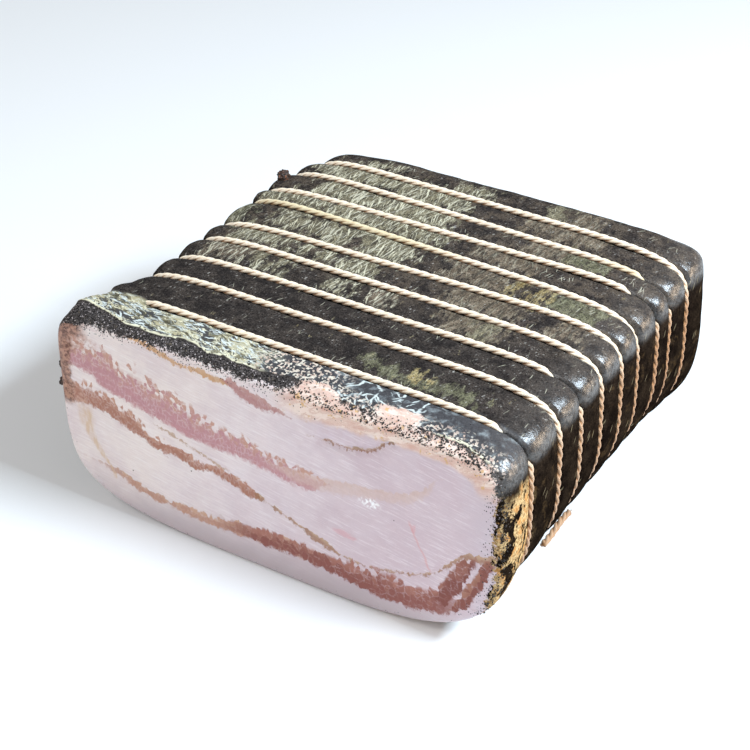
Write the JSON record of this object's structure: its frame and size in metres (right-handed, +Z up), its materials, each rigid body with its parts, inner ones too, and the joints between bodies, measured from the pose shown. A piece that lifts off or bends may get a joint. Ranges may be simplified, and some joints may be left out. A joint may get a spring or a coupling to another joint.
{
  "type": "lardo slab",
  "caption": "Half slab of cured pork back fat with meat-streaked cut face, black peppered rind and butcher's twine wound round it, lying flat.",
  "frame": {"origin": "middle of the foot of the bounding box", "axes": "+X along the width of the cut face, to the right as seen facing the cut; +Y from the cut face into the depth; +Z up, the thickness of the slab as it lies"},
  "size_m": [0.2194, 0.1964, 0.1004],
  "materials": {
    "rind": "cured pork fat in a black peppered rind with a thin dried casing; the cut face is pale pink fat streaked with brown-red lean",
    "twine": "undyed three-ply cotton butcher's twine, stained brown by the rind"
  },
  "bodies": {
    "root": {"lardo_block": "rind", "string_loop_1": "twine", "string_loop_2": "twine", "string_loop_3": "twine", "string_loop_4": "twine", "string_loop_5": "twine", "string_loop_6": "twine", "string_loop_7": "twine", "string_loop_8": "twine", "string_loop_9": "twine", "string_tail": "twine"}
  },
  "joints": []
}
